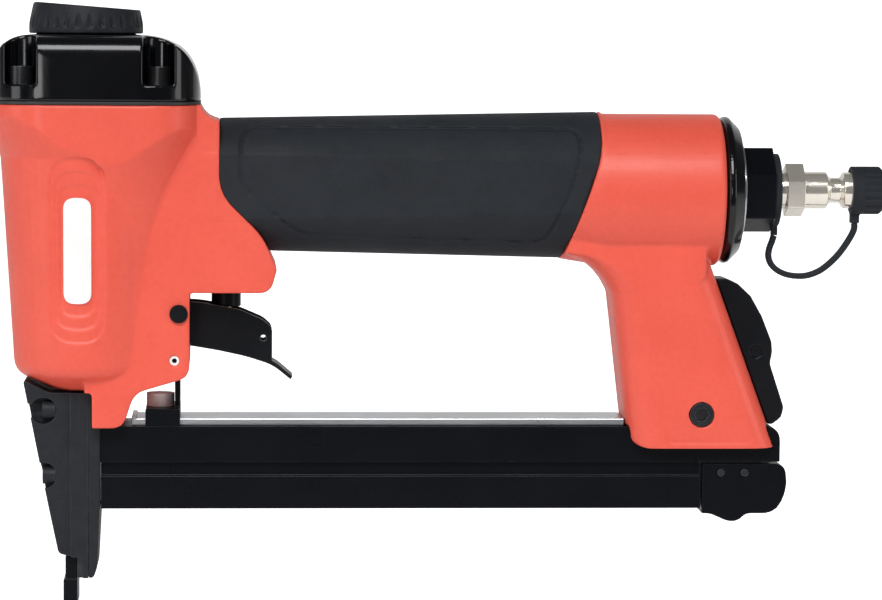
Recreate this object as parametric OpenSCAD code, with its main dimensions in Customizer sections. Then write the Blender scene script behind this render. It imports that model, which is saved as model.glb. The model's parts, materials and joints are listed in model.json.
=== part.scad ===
// Pneumatic upholstery stapler, upright as it is used, in millimetres.
// The origin is where the staple leaves the nose. +X runs back to the air inlet, +Z runs up the barrel.

/* [Magazine] */
// Height of the sliding magazine's underside above the nose tip
slide_z = 26; // [23:0.2:28]
// Height of the sliding magazine's side walls
slide_h = 8.7; // [8:0.1:11]
// Open groove between the sliding magazine and the fixed rail
groove_h = 3.7; // [3:0.1:5]
// Height of the fixed rail
rail_h = 9.4; // [8.6:0.1:11]
// Roof of the fixed rail above the staple crowns
roof_t = 2.8; // [2.2:0.1:3.4]
// Width over the magazine's side walls
mag_w = 20.4; // [19.6:0.2:23]
// Outside width of the staple crown
crown_w = 12.9; // [11:0.1:13]
// Room beside the staple rail for a staple leg
leg_room = 1.15; // [1:0.05:1.4]
// Thickness of the steel bar on the fixed rail
bar_t = 1.9; // [1.2:0.1:2.4]
// Length of the magazine tail
tail_l = 23; // [20:0.5:27]

/* [Nose] */
// Width of the nose pieces
nose_w = 22; // [21:0.2:25]
// Thickness of the front plate at its top
plate_t = 15.6; // [13:0.2:16]
// Thickness of the rear guide
guide_t = 3.2; // [2.8:0.1:4.4]
// Width of the nose tip
tip_w = 13.6; // [12:0.2:15]
// Thickness of the nose tip
tip_t = 3.7; // [3:0.1:4.4]
// Height of the nose tip
tip_h = 6.6; // [5:0.2:8]
// Height of the housing's nose block
block_h = 9.2; // [8:0.2:11]

/* [Drive] */
// Thickness of the driver blade
blade_t = 1.2; // [0.8:0.1:1.6]
// Height of the resting blade above the staple crowns
blade_lift = 1.9; // [1:0.1:3]
// Bore radius of the cylinder sleeve
cyl_r = 13.5; // [12:0.1:14]
// Wall of the cylinder sleeve
sleeve_wall = 2; // [1.5:0.1:2.2]
// Floor of the barrel under the cylinder sleeve
floor_t = 4; // [3:0.2:5]
// Height of the rubber bumper
bumper_h = 6; // [4:0.5:8]
// Height of the piston
piston_h = 12; // [9:0.5:14]

/* [Head] */
// Radius of the barrel at the head
head_r = 23.5; // [22.5:0.1:25]
// Radius of the barrel at its foot
foot_r = 18.6; // [18.2:0.1:20.5]
// Length of the head behind the barrel's radius
head_back = 6.7; // [5:0.1:9]
// Height of the head cap
cap_h = 17.2; // [16:0.2:20]
// Radius of the exhaust deflector
knob_r = 15; // [13:0.1:16]
// Height of the exhaust deflector
knob_h = 8.4; // [7:0.1:10]
// Radius of the cap screws
cap_screw_r = 2; // [1.5:0.1:2.2]

/* [Handle] */
// Length of the neck between the barrel and the grip
neck_l = 11.7; // [11:0.1:15]
// Length of the grip
grip_l = 101; // [90:0.2:112]
// Wall of the grip sleeve
grip_t = 3; // [2:0.1:3.6]
// Length of the bare rear section
rear_l = 32; // [28:0.2:38]
// Depth of the handle's axis below the head seam
handle_drop = 22.3; // [21.5:0.1:25]
// Height of the handle at the neck
front_h = 34; // [32:0.2:36]
// Width of the handle at the neck
front_w = 29; // [28:0.2:33]
// Height of the handle at the end of the grip
rear_h = 39.2; // [37:0.2:40]
// Width of the handle at the end of the grip
rear_w = 37; // [34:0.2:39]
// Radius of the handle's rear end
end_r = 20.2; // [19.8:0.1:22]
// Radius of the air chamber in the handle
chamber_r = 10.5; // [9:0.1:11.5]
// Width of the leg
leg_w = 28.6; // [26:0.2:31]
// Lean of the leg's back between the handle and the magazine
leg_lean = 15.2; // [12:0.2:17]

/* [Trigger] */
// Distance of the trigger pin behind the driver axis
pivot_x = 24.6; // [23.4:0.1:26]
// Radius of the trigger pin
pin_r = 1.5; // [1.2:0.1:1.8]
// Width of the trigger
trigger_w = 10.4; // [10:0.1:12]
// Length of the trigger from its pin to its front edge
trigger_l = 24.6; // [23:0.2:27]
// Sheet thickness of the trigger
trigger_t = 1; // [0.8:0.1:1.2]
// Radius of the trigger valve body
valve_r = 3.9; // [3.5:0.1:4]
// Width of the housing's trigger web
web_w = 30; // [27:0.2:31]

/* [Air inlet] */
// Radius of the handle end cap
disc_r = 19.6; // [18:0.1:20]
// Thickness of the handle end cap
disc_t = 5.2; // [4:0.1:7]
// Width across flats of the inlet bushing
hex_af = 20; // [18:0.2:22]
// Length of the inlet bushing's hexagon
hex_l = 8.4; // [7:0.1:11]
// Radius of the air nipple's shaft
nipple_r = 4.95; // [4.6:0.05:5.4]
// Radius of the dust cap
dust_r = 6.4; // [6.1:0.1:7.4]

/* [Latch] */
// Width of the latch lever
latch_w = 12; // [11:0.2:14]
// Height of the latch lever
latch_h = 39; // [36:0.2:41]

/* [Hidden] */
$fn = 48;
curve_steps = 7;
fine_steps = 14;
meet_share = 0.97;

// Clearances and cut overrun
over = 1;
slip = 0.1;
pin_slip = 0.05;
gap = 0.3;

// Corner reaches of the softened outlines
soft_s = 1;
soft_m = 3;
soft_l = 6;
soft_xl = 13;

// Heights of the magazine stack
slide_top = slide_z + slide_h;
rail_z = slide_top + groove_h;
rail_top = rail_z + rail_h;
crown_top = rail_top - roof_t;
bar_top = rail_top + bar_t;

// Half widths across the magazine
cav_y = crown_w / 2 + gap;
core_y = cav_y - leg_room;
mag_y = mag_w / 2;
inner_wall = 0.85;
tongue_t = 0.8;
hook_t = 1.2;
hook_h = 1.2;
tongue_y = cav_y + inner_wall + slip;
tongue_h = 3.1;

// Heights of the drive
foot_z = rail_top + block_h;
seat_z = foot_z + floor_t;
tip_gap = 0.3;
blade_z = crown_top + blade_lift;
stroke = blade_z - tip_gap;
piston_z = seat_z + bumper_h + gap + stroke;
piston_top = piston_z + piston_h;
sleeve_room = 3;
sleeve_top = piston_top + sleeve_room;
seam_rise = 3.8;
seam_z = sleeve_top + seam_rise;
sleeve_r = cyl_r + sleeve_wall;
reservoir_r = sleeve_r + 2 * slip + sleeve_wall;
reservoir_z = seat_z + bumper_h + soft_m;
blade_w = crown_w - gap;
channel_x = blade_t / 2 + slip;

// Head
gasket_t = 0.8;
cap_z = seam_z + gasket_t;
cap_top = cap_z + cap_h;
head_end = head_r + head_back;
plan_r = 15;
shoulder_h = 70;
shoulder_t = 5;
shoulder_set = 6.6;
flare_r = 15.6;
flare_drop = 22.7;
flare_reach = 20;
collar_h = 14;
collar_over = 5.5;
cap_soft_front = 10;
cap_soft_back = 17;
screw_inset_front = 7.4;
screw_inset_back = 10.7;
screw_inset_side = 7.6;
screw_head_share = 1.6;
pocket_room = 0.8;
cap_screw_x = [screw_inset_front - head_r, head_end - screw_inset_back];
cap_screw_y = head_r - screw_inset_side;
cap_head_r = screw_head_share * cap_screw_r;
cap_head_h = 4.6;
pocket_r = cap_head_r + pocket_room;
pocket_floor_t = 4.4;
cap_screw_l = 7.6;

// Handle
grip_start = head_r + neck_l;
grip_end = grip_start + grip_l;
reach = grip_end + rear_l;
handle_z = seam_z - handle_drop;
grip_rise = 1.1;
grip_z = handle_z + grip_rise;
bar_x = head_r / 2;
neck_drop = 4.2;
rear_taper = 2.6;

// Leg
leg_lap = 5.5;
leg_set = 7.6;
leg_neck_drop = 22.4;
leg_neck_set = 2.2;
leg_notch = 1.6;
leg_soft = 8;
rail_stub = 1;
bolt_inset = 20.6;
bolt_rise = 3.6;
leg_foot_z = rail_top - leg_lap;
leg_front = grip_end + leg_set;
leg_back = reach + leg_lean;
leg_neck_z = handle_z - leg_neck_drop;
leg_neck_front = grip_end + leg_neck_set;
leg_neck_back = reach - leg_notch;
rail_end = leg_back + rail_stub;
bolt_x = leg_back - bolt_inset;
bolt_z = rail_top + bolt_rise;
bolt_r = 2;
bolt_head_r = 3.1;
lug_w = 14;
lug_l = 13;
lug_h = 7.4;

// Trigger web
valve_face_drop = 28.4;
ceiling_rise = 1.4;
pivot_drop = 4;
pivot_wall = 2.8;
web_lap = 16.4;
web_rise = 4.2;
valve_arm = 12.4;
roll_pin_r = 1.3;
roll_pin_set = 1.1;
roll_pin_drop = 12.4;
block_l = 10;
valve_face_z = handle_z - valve_face_drop;
ceiling_z = valve_face_z + ceiling_rise;
pivot_z = valve_face_z - pivot_drop;
throat_x = pivot_x + pivot_wall;
web_x = grip_start + web_lap;
web_foot_z = foot_z + web_rise;
valve_x = pivot_x + valve_arm;
roll_pin_x = pivot_x - roll_pin_set;
roll_pin_z = pivot_z - roll_pin_drop;

// Outline helpers: a point is [x, z, reach], and its corner is drawn round over that reach
function unit(v) = v / norm(v);

function flat(p) = [p[0], p[1]];

// Reach of corner p towards q, shortened where the two corners' reaches would meet
function fitted(p, q) =
    let (most = meet_share * norm(flat(p) - flat(q)), both = p[2] + q[2])
    both < most ? p[2] : most * p[2] / both;

function corner(a, p, b, steps) =
    let (c = flat(p), u = unit(flat(a) - c), v = unit(flat(b) - c), r = min(fitted(p, a), fitted(p, b)))
    r == 0 ? [c] : [
        for (i = [0:steps])
            let (s = i / steps)
            c + u * r * (1 - s) * (1 - s) + v * r * s * s
    ];

function soft(pts, steps = curve_steps) =
    let (n = len(pts))
    [for (i = [0:n - 1]) each corner(pts[(i + n - 1) % n], pts[i], pts[(i + 1) % n], steps)];

function box(x0, x1, z0, z1, reach) = soft([
    [x0, z0, reach], [x1, z0, reach], [x1, z1, reach], [x0, z1, reach]
]);

function placed(shares, x, z, w, h) = [for (s = shares) [x + s[0] * w, z + s[1] * h, s[2] * h]];

// Tube of the given sides swept round a list of centres; faces are triangles
function frame_u(d) = unit(cross(d, abs(d[1]) < 0.9 ? [0, 1, 0] : [1, 0, 0]));

function tube_points(path, r, sides) = [
    for (i = [0:len(path) - 1])
        let (
            a = path[max(i - 1, 0)],
            b = path[min(i + 1, len(path) - 1)],
            d = unit(b - a),
            u = frame_u(d),
            v = cross(d, u)
        )
        for (k = [0:sides - 1])
            path[i] + r * (cos(360 * k / sides) * u + sin(360 * k / sides) * v)
];

function tube_faces(rings, sides) = concat(
    [for (k = [1:sides - 2]) [0, k, k + 1]],
    [
        for (i = [0:rings - 2])
            for (k = [0:sides - 1])
                let (a = i * sides + k, b = i * sides + (k + 1) % sides)
                each [[a, a + sides, b], [b, a + sides, b + sides]]
    ],
    let (s = (rings - 1) * sides)
    [for (k = [1:sides - 2]) [s, s + k + 1, s + k]]
);

module tube(path, r, sides) {
    polyhedron(tube_points(path, r, sides), tube_faces(len(path), sides));
}

// Helix about Z from z = 0 to z = h, measured at the middle of the wire
coil_rings = 8;
coil_sides = 6;

function helix(r, h, turns) = [
    for (i = [0:turns * coil_rings])
        let (a = 360 * i / coil_rings)
        [r * cos(a), r * sin(a), h * i / (turns * coil_rings)]
];

module coil(r, wire_r, h, turns) {
    tube(helix(r, h, turns), wire_r, coil_sides);
}

// Plates and rods along the three axes
module side_cut(pts, w) {
    rotate([90, 0, 0]) linear_extrude(w, center = true) polygon(pts);
}

module along_x(x0, x1) {
    translate([x0, 0, 0]) rotate([90, 0, 90]) linear_extrude(x1 - x0) children();
}

module up_z(z0, z1) {
    translate([0, 0, z0]) linear_extrude(z1 - z0) children();
}

module rod_x(r, x0, x1, z) {
    translate([x0, 0, z]) rotate([0, 90, 0]) cylinder(r = r, h = x1 - x0);
}

module rod_y(r, w, x, z) {
    translate([x, 0, z]) rotate([90, 0, 0]) cylinder(r = r, h = w, center = true);
}

module rod_z(r, z0, z1, x = 0) {
    translate([x, 0, z0]) cylinder(r = r, h = z1 - z0);
}

// Body turned about the inlet axis from [radius, x] points
module turned_x(profile) {
    translate([0, 0, handle_z]) rotate([0, 90, 0]) rotate_extrude() polygon(profile);
}

module ring_z(r, wire_r, z, x = 0) {
    translate([x, 0, z]) rotate_extrude() translate([r, 0]) circle(wire_r);
}

module block(x0, x1, w, z0, z1) {
    translate([x0, -w / 2, z0]) cube([x1 - x0, w, z1 - z0]);
}

// Housing: barrel, shoulder, trigger web, handle, rear section and leg
function barrel_r(z) = foot_r + (head_r - foot_r) * (z - foot_z) / (seam_z - foot_z);

module barrel(inset) {
    lip_z = foot_z + soft_l;
    rotate_extrude() polygon(soft([
        [0, foot_z, 0],
        [foot_r / 2, foot_z, soft_s],
        [barrel_r(lip_z) - inset, lip_z - soft_s, soft_m],
        [head_r - inset, seam_z, 0],
        [0, seam_z, 0]
    ]));
}

module head_plan() {
    polygon(soft([
        [-head_r, -head_r, plan_r], [head_end, -head_r, plan_r],
        [head_end, head_r, plan_r], [-head_r, head_r, plan_r]
    ], fine_steps));
}

// Shoulder under the cap, between the head's plan and the barrel: a hollow flare at the back and a collar
module shoulder() {
    low = seam_z - shoulder_h;
    wide = head_end + shoulder_t - shoulder_set;
    collar_z = seam_z - collar_h;
    collar_r = head_r + collar_over;
    intersection() {
        up_z(low, seam_z) head_plan();
        union() {
            translate([shoulder_set, 0, 0]) rotate_extrude() polygon(soft([
                [0, low, 0], [flare_r, low, 0], [flare_r + soft_m, seam_z - flare_drop, flare_reach],
                [wide, seam_z - shoulder_t, 0], [wide, seam_z, 0], [0, seam_z, 0]
            ], fine_steps));
            rotate_extrude() polygon([
                [0, collar_z], [barrel_r(collar_z), collar_z], [collar_r, seam_z - soft_s],
                [collar_r, seam_z], [0, seam_z]
            ]);
        }
    }
}

// Handle: a tapered round bar with flat sides
module flat_sides(x0, x1, w0, w1) {
    up_z(handle_z - 2 * end_r, handle_z + 2 * end_r)
        polygon([[x0, -w0 / 2], [x1, -w1 / 2], [x1, w1 / 2], [x0, w0 / 2]]);
}

module handle_bar(inset) {
    intersection() {
        translate([0, 0, grip_rise]) turned_x([
            [0, bar_x], [front_h / 2 - inset, bar_x], [rear_h / 2 - inset, grip_end], [0, grip_end]
        ]);
        flat_sides(bar_x, grip_end, front_w - 2 * inset, rear_w - 2 * inset);
    }
}

module rear_section() {
    start = grip_end - soft_xl - soft_m;
    intersection() {
        turned_x([
            [0, start], [end_r - rear_taper, start], [end_r, grip_end], [end_r, reach - soft_s],
            [end_r - soft_s, reach], [0, reach]
        ]);
        flat_sides(start, reach, 2 * end_r - soft_s, 2 * end_r + soft_s);
    }
}

// Leg: the side outline, with its front and back edges rounded along their own lean
function lean(x0, x1) = atan((x1 - x0) / (leg_neck_z - leg_foot_z));

module leaning_edge(x, turn, far) {
    w = leg_w / 2;
    translate([x, 0, leg_foot_z]) rotate([0, -turn, 0]) translate([0, 0, -leg_w]) linear_extrude(handle_z)
        polygon(soft([[0, -w, leg_soft], [0, w, leg_soft], [far, w, 0], [far, -w, 0]]));
}

module leg() {
    intersection() {
        side_cut(soft([
            [leg_front, leg_foot_z, soft_l], [leg_back, leg_foot_z, soft_s],
            [leg_neck_back, leg_neck_z, 0], [leg_neck_back, handle_z, 0], [leg_neck_front, handle_z, 0],
            [leg_neck_front, leg_neck_z, 0]
        ]), leg_w);
        leaning_edge(leg_back, lean(leg_neck_back, leg_back), -rear_l * 3);
        leaning_edge(leg_front, lean(leg_neck_front, leg_front), rear_l * 3);
    }
    leg_fillet();
}

// Fillet between the handle and the leg's front, in slabs that follow the leg's rounded edge
fillet_steps = 10;

module leg_fillet() {
    for (k = [1:fillet_steps]) {
        share = (k - 1) / fillet_steps;
        set = leg_soft * share * share;
        side_cut(soft([
            [grip_end - soft_xl + set, handle_z, 0],
            [grip_end - soft_xl + set, leg_neck_z + soft_l, soft_s],
            [leg_neck_front - 2 * soft_s + set, leg_neck_z + soft_m + soft_s, soft_xl],
            [leg_neck_front + soft_m + set, leg_neck_z - soft_xl, 0],
            [leg_neck_back - soft_m, leg_neck_z, 0],
            [leg_neck_back - soft_m, handle_z, 0]
        ]), leg_w - 2 * leg_soft * (1 - share) * (1 - share));
    }
}

// Shallow ledge on both sides of the leg's foot, which fades out upwards
ledge_d = 0.5;
ledge_rise = 1.2;
ledge_h = 6;
ledge_front = 9.2;
ledge_back = 6;

module foot_ledge() {
    low = leg_foot_z + ledge_rise;
    top = low + ledge_h;
    x0 = leg_front + ledge_front;
    x1 = leg_back - ledge_back;
    intersection() {
        side_cut(soft([[x0, top, 0], [x0, low, soft_m], [x1, low, soft_m], [x1, top, 0]]), 2 * leg_w);
        union() {
            for (s = [-1, 1])
                along_x(x0 - over, x1 + over) polygon([
                    [s * leg_w / 2, top], [s * (leg_w / 2 - ledge_d), leg_foot_z],
                    [s * leg_w, leg_foot_z], [s * leg_w, top]
                ]);
        }
    }
}

module trigger_web() {
    side_cut(soft([
        [0, seam_z, 0],
        [head_end, seam_z, 0],
        [head_end + soft_s, seam_z - soft_m, soft_m],
        [grip_start, seam_z - neck_drop, 0],
        [grip_start, handle_z, 0],
        [web_x, handle_z - front_h / 2 + soft_s, soft_s],
        [web_x - soft_m, ceiling_z, soft_m],
        [throat_x, ceiling_z, 0],
        [throat_x, web_foot_z, soft_m],
        [block_l + soft_m, foot_z, soft_m],
        [block_l, rail_top, soft_m],
        [guide_top, rail_top, 0],
        [guide_top, foot_z, 0],
        [0, foot_z, 0]
    ]), web_w);
}

// Grip outline in shares of its length and of the handle's height
grip_shares = [
    [0, 1.2, 0], [0, 0.45, 0.12], [0.11, 0.17, 0.1], [0.175, -0.2, 0],
    [0.865, -0.2, 0], [0.967, 0.52, 0.12], [0.992, 0.75, 0.1], [0.992, 1.2, 0]
];
panel_shares = [
    [0.05, 0.9, 0.12], [0.05, 0.5, 0.12], [0.2, 0.17, 0.12],
    [0.85, 0.12, 0.1], [0.93, 0.55, 0.2], [0.945, 0.9, 0.12]
];
groove_w = 1;
groove_d = 0.7;

function grip_outline() = soft(placed(grip_shares, grip_start, grip_z - rear_h / 2, grip_l, rear_h));

module grip_block() {
    side_cut(grip_outline(), 2 * rear_w);
}

// Label frame on both sides of the barrel
label_x = -1.6;
label_w = 7.2;
label_h = 27.7;
label_drop = 38;
label_z = seam_z - label_drop;
label_t = 0.6;
frame_steps = 3;
frame_rim = [1.25, 3.5];
frame_step_d = 0.5;
frame_d = frame_steps * frame_step_d;

module label_prism(margin, depth) {
    intersection() {
        difference() {
            barrel(-over);
            barrel(depth);
        }
        translate([label_x, 0, label_z]) rotate([90, 0, 0])
            linear_extrude(3 * head_r, center = true)
                polygon(box(-label_w / 2 - margin[0], label_w / 2 + margin[0],
                    -label_h / 2 - margin[1], label_h / 2 + margin[1], soft_m + margin[0]));
    }
}

module label_frame() {
    for (k = [1:frame_steps]) label_prism(k * frame_rim, frame_d - (k - 1) * frame_step_d);
}

// Latch seat in the back of the leg
latch_top = leg_neck_z - soft_s;
latch_z = latch_top - latch_h / 2;
latch_lug_w = 7;
latch_lug_r = 3.2;
latch_pin_r = 1.5;
latch_depth = 4;

function leg_back_x(z) =
    leg_neck_back + (leg_back - leg_neck_back) * (leg_neck_z - z) / (leg_neck_z - leg_foot_z);

latch_x = leg_back_x(latch_z) + latch_lug_r + soft_s;
latch_foot = latch_top - latch_h;
spring_z = latch_top - latch_h / 4;
latch_spring_r = 2;
latch_spring_l = 4;
latch_wire = 0.3;

module latch_groove() {
    side_cut([
        [leg_back_x(latch_z) - gap, latch_z - latch_lug_r],
        [leg_back_x(latch_z) + soft_l, latch_z - latch_lug_r],
        [leg_back_x(latch_top) + soft_l, latch_top + soft_m],
        [leg_back_x(latch_top) - latch_depth, latch_top + soft_m]
    ], latch_w + 2 * gap);
}

module housing() {
    color([0.94, 0.38, 0.31]) difference() {
        union() {
            difference() {
                union() {
                    barrel(0);
                    shoulder();
                    trigger_web();
                    handle_bar(0);
                    rear_section();
                    leg();
                }
                grip_block();
                latch_groove();
            }
            handle_bar(grip_t);
            rod_y(latch_lug_r, latch_lug_w, latch_x, latch_z);
            block(leg_back_x(latch_z) - soft_m, latch_x, latch_lug_w,
                latch_z - latch_lug_r, latch_z + latch_lug_r);
        }
        rod_z(reservoir_r, reservoir_z, seam_z + over);
        rod_z(sleeve_r + slip, seat_z, seam_z);
        block(-channel_x, channel_x, blade_w + 2 * slip, foot_z - over, seat_z + over);
        rod_x(chamber_r, 0, reach + over, handle_z);
        rod_z(valve_r + pin_slip, valve_face_z - over, handle_z, valve_x);
        block(pivot_x - soft_l, throat_x + over, trigger_w + 2 * gap, web_foot_z + soft_s, ceiling_z);
        rod_y(pin_r + pin_slip, web_w + over, pivot_x, pivot_z);
        rod_y(roll_pin_r + pin_slip, web_w + over, roll_pin_x, roll_pin_z);
        for (x = cap_screw_x, y = [-cap_screw_y, cap_screw_y])
            translate([x, y, 0]) rod_z(cap_screw_r + pin_slip, seam_z - cap_screw_l, seam_z + over);
        label_frame();
        foot_ledge();
        block(grip_end, rail_end + over, mag_w + 2 * slip, slide_z, rail_top + slip);
        block(bolt_x - lug_l / 2 - gap, bolt_x + lug_l / 2 + gap, lug_w + 2 * slip, rail_top, bolt_z + lug_h);
        rod_y(bolt_r + pin_slip, leg_w + over, bolt_x, bolt_z);
        for (s = [-1, 1]) bolt_recess(s);
        hanger_slot();
        rod_y(latch_pin_r + pin_slip, latch_lug_w + over, latch_x, latch_z);
        nose_screw_holes();
        rod_x(latch_spring_r + gap, latch_spring_x - over, latch_x, spring_z);
    }
}

// Nose pieces
screw_r = 1.5;
screw_head_r = 2.4;
screw_head_t = 3.4;
screw_inset = 2.8;
screw_y = nose_w / 2 - screw_inset;
screw_drop = 5;
screw_z = [foot_z - screw_drop, slide_top + slip];
screw_seat_x = -plate_t / 2;
plate_rise = 6.2;
plate_foot_z = tip_h + plate_rise;
plate_foot_t = 6.4;
plate_rib = 3.2;
plate_step = 0.8;
guide_foot_z = tip_h + soft_s / 2;
guide_back = channel_x + guide_t;
guide_foot_t = 1.4;
guide_top_t = 1.2;
guide_top = channel_x + guide_top_t;
strip_t = 1.5;
strip_foot = guide_foot_z;
tip_back = -channel_x - strip_t;
tip_front = tip_back - tip_t;
strip_top = slide_top;
window_z = slide_z + strip_t - gap;
pocket_reach = 3.5;

// Front view of the nose: full width down to the magazine, then drawn in to the tip
module nose_view(x0, x1, inset) {
    along_x(x0, x1) polygon([
        [-nose_w / 2 + inset, foot_z + soft_l], [-nose_w / 2 + inset, slide_z],
        [-tip_w / 2 - soft_s + inset, guide_foot_z], [tip_w / 2 + soft_s - inset, guide_foot_z],
        [nose_w / 2 - inset, slide_z], [nose_w / 2 - inset, foot_z + soft_l]
    ]);
}

module nose_screw_holes() {
    for (y = [-screw_y, screw_y], z = screw_z)
        translate([0, y, 0]) rod_x(screw_r + pin_slip, screw_seat_x - over, block_l - soft_s, z);
}

module nose_front_plate() {
    color([0.17, 0.18, 0.2]) difference() {
        intersection() {
            side_cut(soft([
                [channel_x, foot_z - gap, 0],
                [-foot_r / 2, foot_z - gap, soft_s],
                [-channel_x - plate_t, foot_z + soft_m, soft_s],
                [-channel_x - plate_foot_t, plate_foot_z + soft_s, soft_s],
                [-channel_x - strip_t - soft_s, plate_foot_z, 0],
                [-channel_x, plate_foot_z, 0],
                [-channel_x, guide_foot_z, 0],
                [channel_x, guide_foot_z, 0]
            ]), nose_w + over);
            union() {
                nose_view(-channel_x - plate_t - over, -channel_x, plate_step);
                nose_view(-channel_x - plate_rib, channel_x, 0);
            }
        }
        block(-channel_x, channel_x + over, crown_w + 2 * slip, 0, foot_z);
        block(-channel_x - strip_t, 0, tip_w, plate_foot_z - over, strip_top);
        nose_screw_holes();
        for (y = [-screw_y, screw_y], z = screw_z)
            translate([0, y, 0]) rod_x(screw_head_r + gap, -2 * plate_t, screw_seat_x, z);
        for (s = [-1, 1], z = screw_z)
            translate([0, s * (screw_y + pocket_reach), 0])
                rod_y(pocket_reach, 2 * pocket_reach + screw_head_r, screw_seat_x - pocket_reach + gap, z);
    }
}

module nose_tip() {
    color([0.1, 0.1, 0.11]) {
        block(tip_front, tip_back, tip_w, 0, tip_h);
        block(tip_front + soft_s / 2, tip_back, tip_w - soft_s, tip_h - soft_s, plate_foot_z);
    }
}

module guide_strip() {
    color([0.8, 0.8, 0.78]) block(-channel_x - strip_t, -channel_x, tip_w, strip_foot, strip_top);
}

module nose_rear_guide() {
    color([0.1, 0.11, 0.13]) difference() {
        intersection() {
            side_cut(soft([
                [channel_x, foot_z, 0],
                [guide_top, foot_z, 0],
                [guide_top, rail_top, 0],
                [guide_back, rail_top, 0],
                [guide_back, slide_z + soft_s, soft_s],
                [channel_x + guide_foot_t + soft_s, guide_foot_z + soft_m, soft_s],
                [channel_x + guide_foot_t, guide_foot_z, soft_s],
                [channel_x, guide_foot_z, soft_s / 2]
            ]), nose_w + over);
            nose_view(0, 2 * guide_back, 0);
        }
        block(0, 2 * guide_back, 2 * cav_y, window_z, crown_top);
        nose_screw_holes();
    }
}

module nose_screws() {
    ends = [block_l - 2 * soft_s, guide_back - gap];
    color([0.3, 0.3, 0.31])
        for (y = [-screw_y, screw_y], i = [0, 1])
            translate([0, y, 0]) difference() {
                union() {
                    rod_x(screw_r, screw_seat_x - screw_head_t / 4, ends[i], screw_z[i]);
                    rod_x(screw_head_r, screw_seat_x - screw_head_t, screw_seat_x, screw_z[i]);
                }
                rod_x(screw_r, 2 * screw_seat_x, screw_seat_x - screw_head_t / 2, screw_z[i], $fn = 6);
            }
}

// Head cap and what it holds
cap_cav_r = reservoir_r - gap;
cap_roof_t = 4.8;
port_r = 1.8;
port_count = 6;
port_ring_r = 8;
knob_screw_r = 1.9;
knob_wall = 2;
boss_h = 1.6;
boss_top = cap_top + boss_h;

module cap_screw_places() {
    for (x = cap_screw_x, y = [-cap_screw_y, cap_screw_y]) translate([x, y, 0]) children();
}

module head_cap() {
    side = soft([
        [-head_r, cap_z, 0], [head_end, cap_z, 0],
        [head_end, cap_top, cap_soft_back], [-head_r, cap_top, cap_soft_front]
    ], fine_steps);
    color([0.04, 0.045, 0.06]) difference() {
        union() {
            intersection() {
                up_z(cap_z, cap_top) head_plan();
                side_cut(side, 3 * head_r);
                along_x(-2 * head_r, 2 * head_end) polygon(soft([
                    [-head_r, cap_z, 0], [head_r, cap_z, 0],
                    [head_r, cap_top, soft_l], [-head_r, cap_top, soft_l]
                ], fine_steps));
            }
            rod_z(knob_r - knob_wall - gap, cap_top - soft_s, boss_top);
        }
        rod_z(cap_cav_r, cap_z - over, cap_top - cap_roof_t);
        rod_z(knob_screw_r + pin_slip, cap_z, boss_top + over);
        for (k = [1:port_count])
            rotate([0, 0, 360 * k / port_count]) rod_z(port_r, cap_z, boss_top + over, port_ring_r);
        cap_screw_places() {
            rod_z(cap_screw_r + pin_slip, cap_z - over, cap_top);
            rod_z(pocket_r, cap_z + pocket_floor_t, cap_top + over);
        }
        for (x = cap_screw_x, s = [-1, 1])
            translate([x - pocket_r, s * (cap_screw_y + head_r / 2) - head_r / 2, cap_z + pocket_floor_t])
                cube([2 * pocket_r, head_r, cap_h]);
    }
}

module cap_gasket() {
    color([0.1, 0.1, 0.1]) difference() {
        up_z(seam_z, cap_z) head_plan();
        rod_z(reservoir_r, seam_z - over, cap_z + over);
        cap_screw_places() rod_z(cap_screw_r + pin_slip, seam_z - over, cap_z + over);
    }
}

module cap_screws() {
    seat = cap_z + pocket_floor_t;
    color([0.13, 0.13, 0.14]) cap_screw_places() difference() {
        union() {
            rod_z(cap_screw_r, seam_z - cap_screw_l + soft_s, seat + cap_head_h / 4);
            rod_z(cap_head_r, seat, seat + cap_head_h);
        }
        rod_z(cap_screw_r, seat + cap_head_h / 2, seat + cap_head_h + over, $fn = 6);
    }
}

// Cylinder, piston and driver
o_ring_r = 0.45;
o_groove_d = 1;

module cylinder_sleeve() {
    color([0.78, 0.78, 0.76]) difference() {
        rod_z(sleeve_r, seat_z, sleeve_top);
        rod_z(cyl_r, seat_z - over, sleeve_top + over);
        for (k = [1, 2]) sleeve_groove(k);
    }
}

function sleeve_ring_z(k) = seat_z + k * bumper_h / 2;

module sleeve_groove(k) {
    difference() {
        rod_z(sleeve_r + over, sleeve_ring_z(k) - o_groove_d / 2, sleeve_ring_z(k) + o_groove_d / 2);
        rod_z(sleeve_r - o_groove_d, seat_z, sleeve_top);
    }
}

module sleeve_o_rings() {
    color([0.08, 0.08, 0.08]) for (k = [1, 2]) ring_z(sleeve_r - o_groove_d / 2, o_ring_r, sleeve_ring_z(k));
}

module bumper() {
    color([0.2, 0.16, 0.1]) difference() {
        rod_z(cyl_r - gap, seat_z, seat_z + bumper_h);
        block(-channel_x - gap, channel_x + gap, blade_w + 2 * gap, seat_z - over, seat_z + bumper_h + over);
    }
}

piston_ring_r = 1;
blade_pin_r = 1.2;
blade_root = piston_h / 2;
piston_ring_z = piston_top - piston_h / 3;

module piston() {
    color([0.75, 0.76, 0.78]) difference() {
        rod_z(cyl_r - slip, piston_z, piston_top);
        difference() {
            rod_z(cyl_r, piston_ring_z - piston_ring_r - slip, piston_ring_z + piston_ring_r + slip);
            rod_z(cyl_r - 2 * piston_ring_r - 2 * slip, piston_z, piston_top);
        }
        block(-blade_t / 2, blade_t / 2, blade_w, piston_z - over, piston_z + blade_root);
        rod_x(blade_pin_r + pin_slip, -cyl_r, cyl_r, piston_z + blade_root / 2);
    }
}

module piston_o_ring() {
    color([0.08, 0.08, 0.08])
        ring_z(cyl_r - slip - piston_ring_r, piston_ring_r, piston_ring_z);
}

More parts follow.
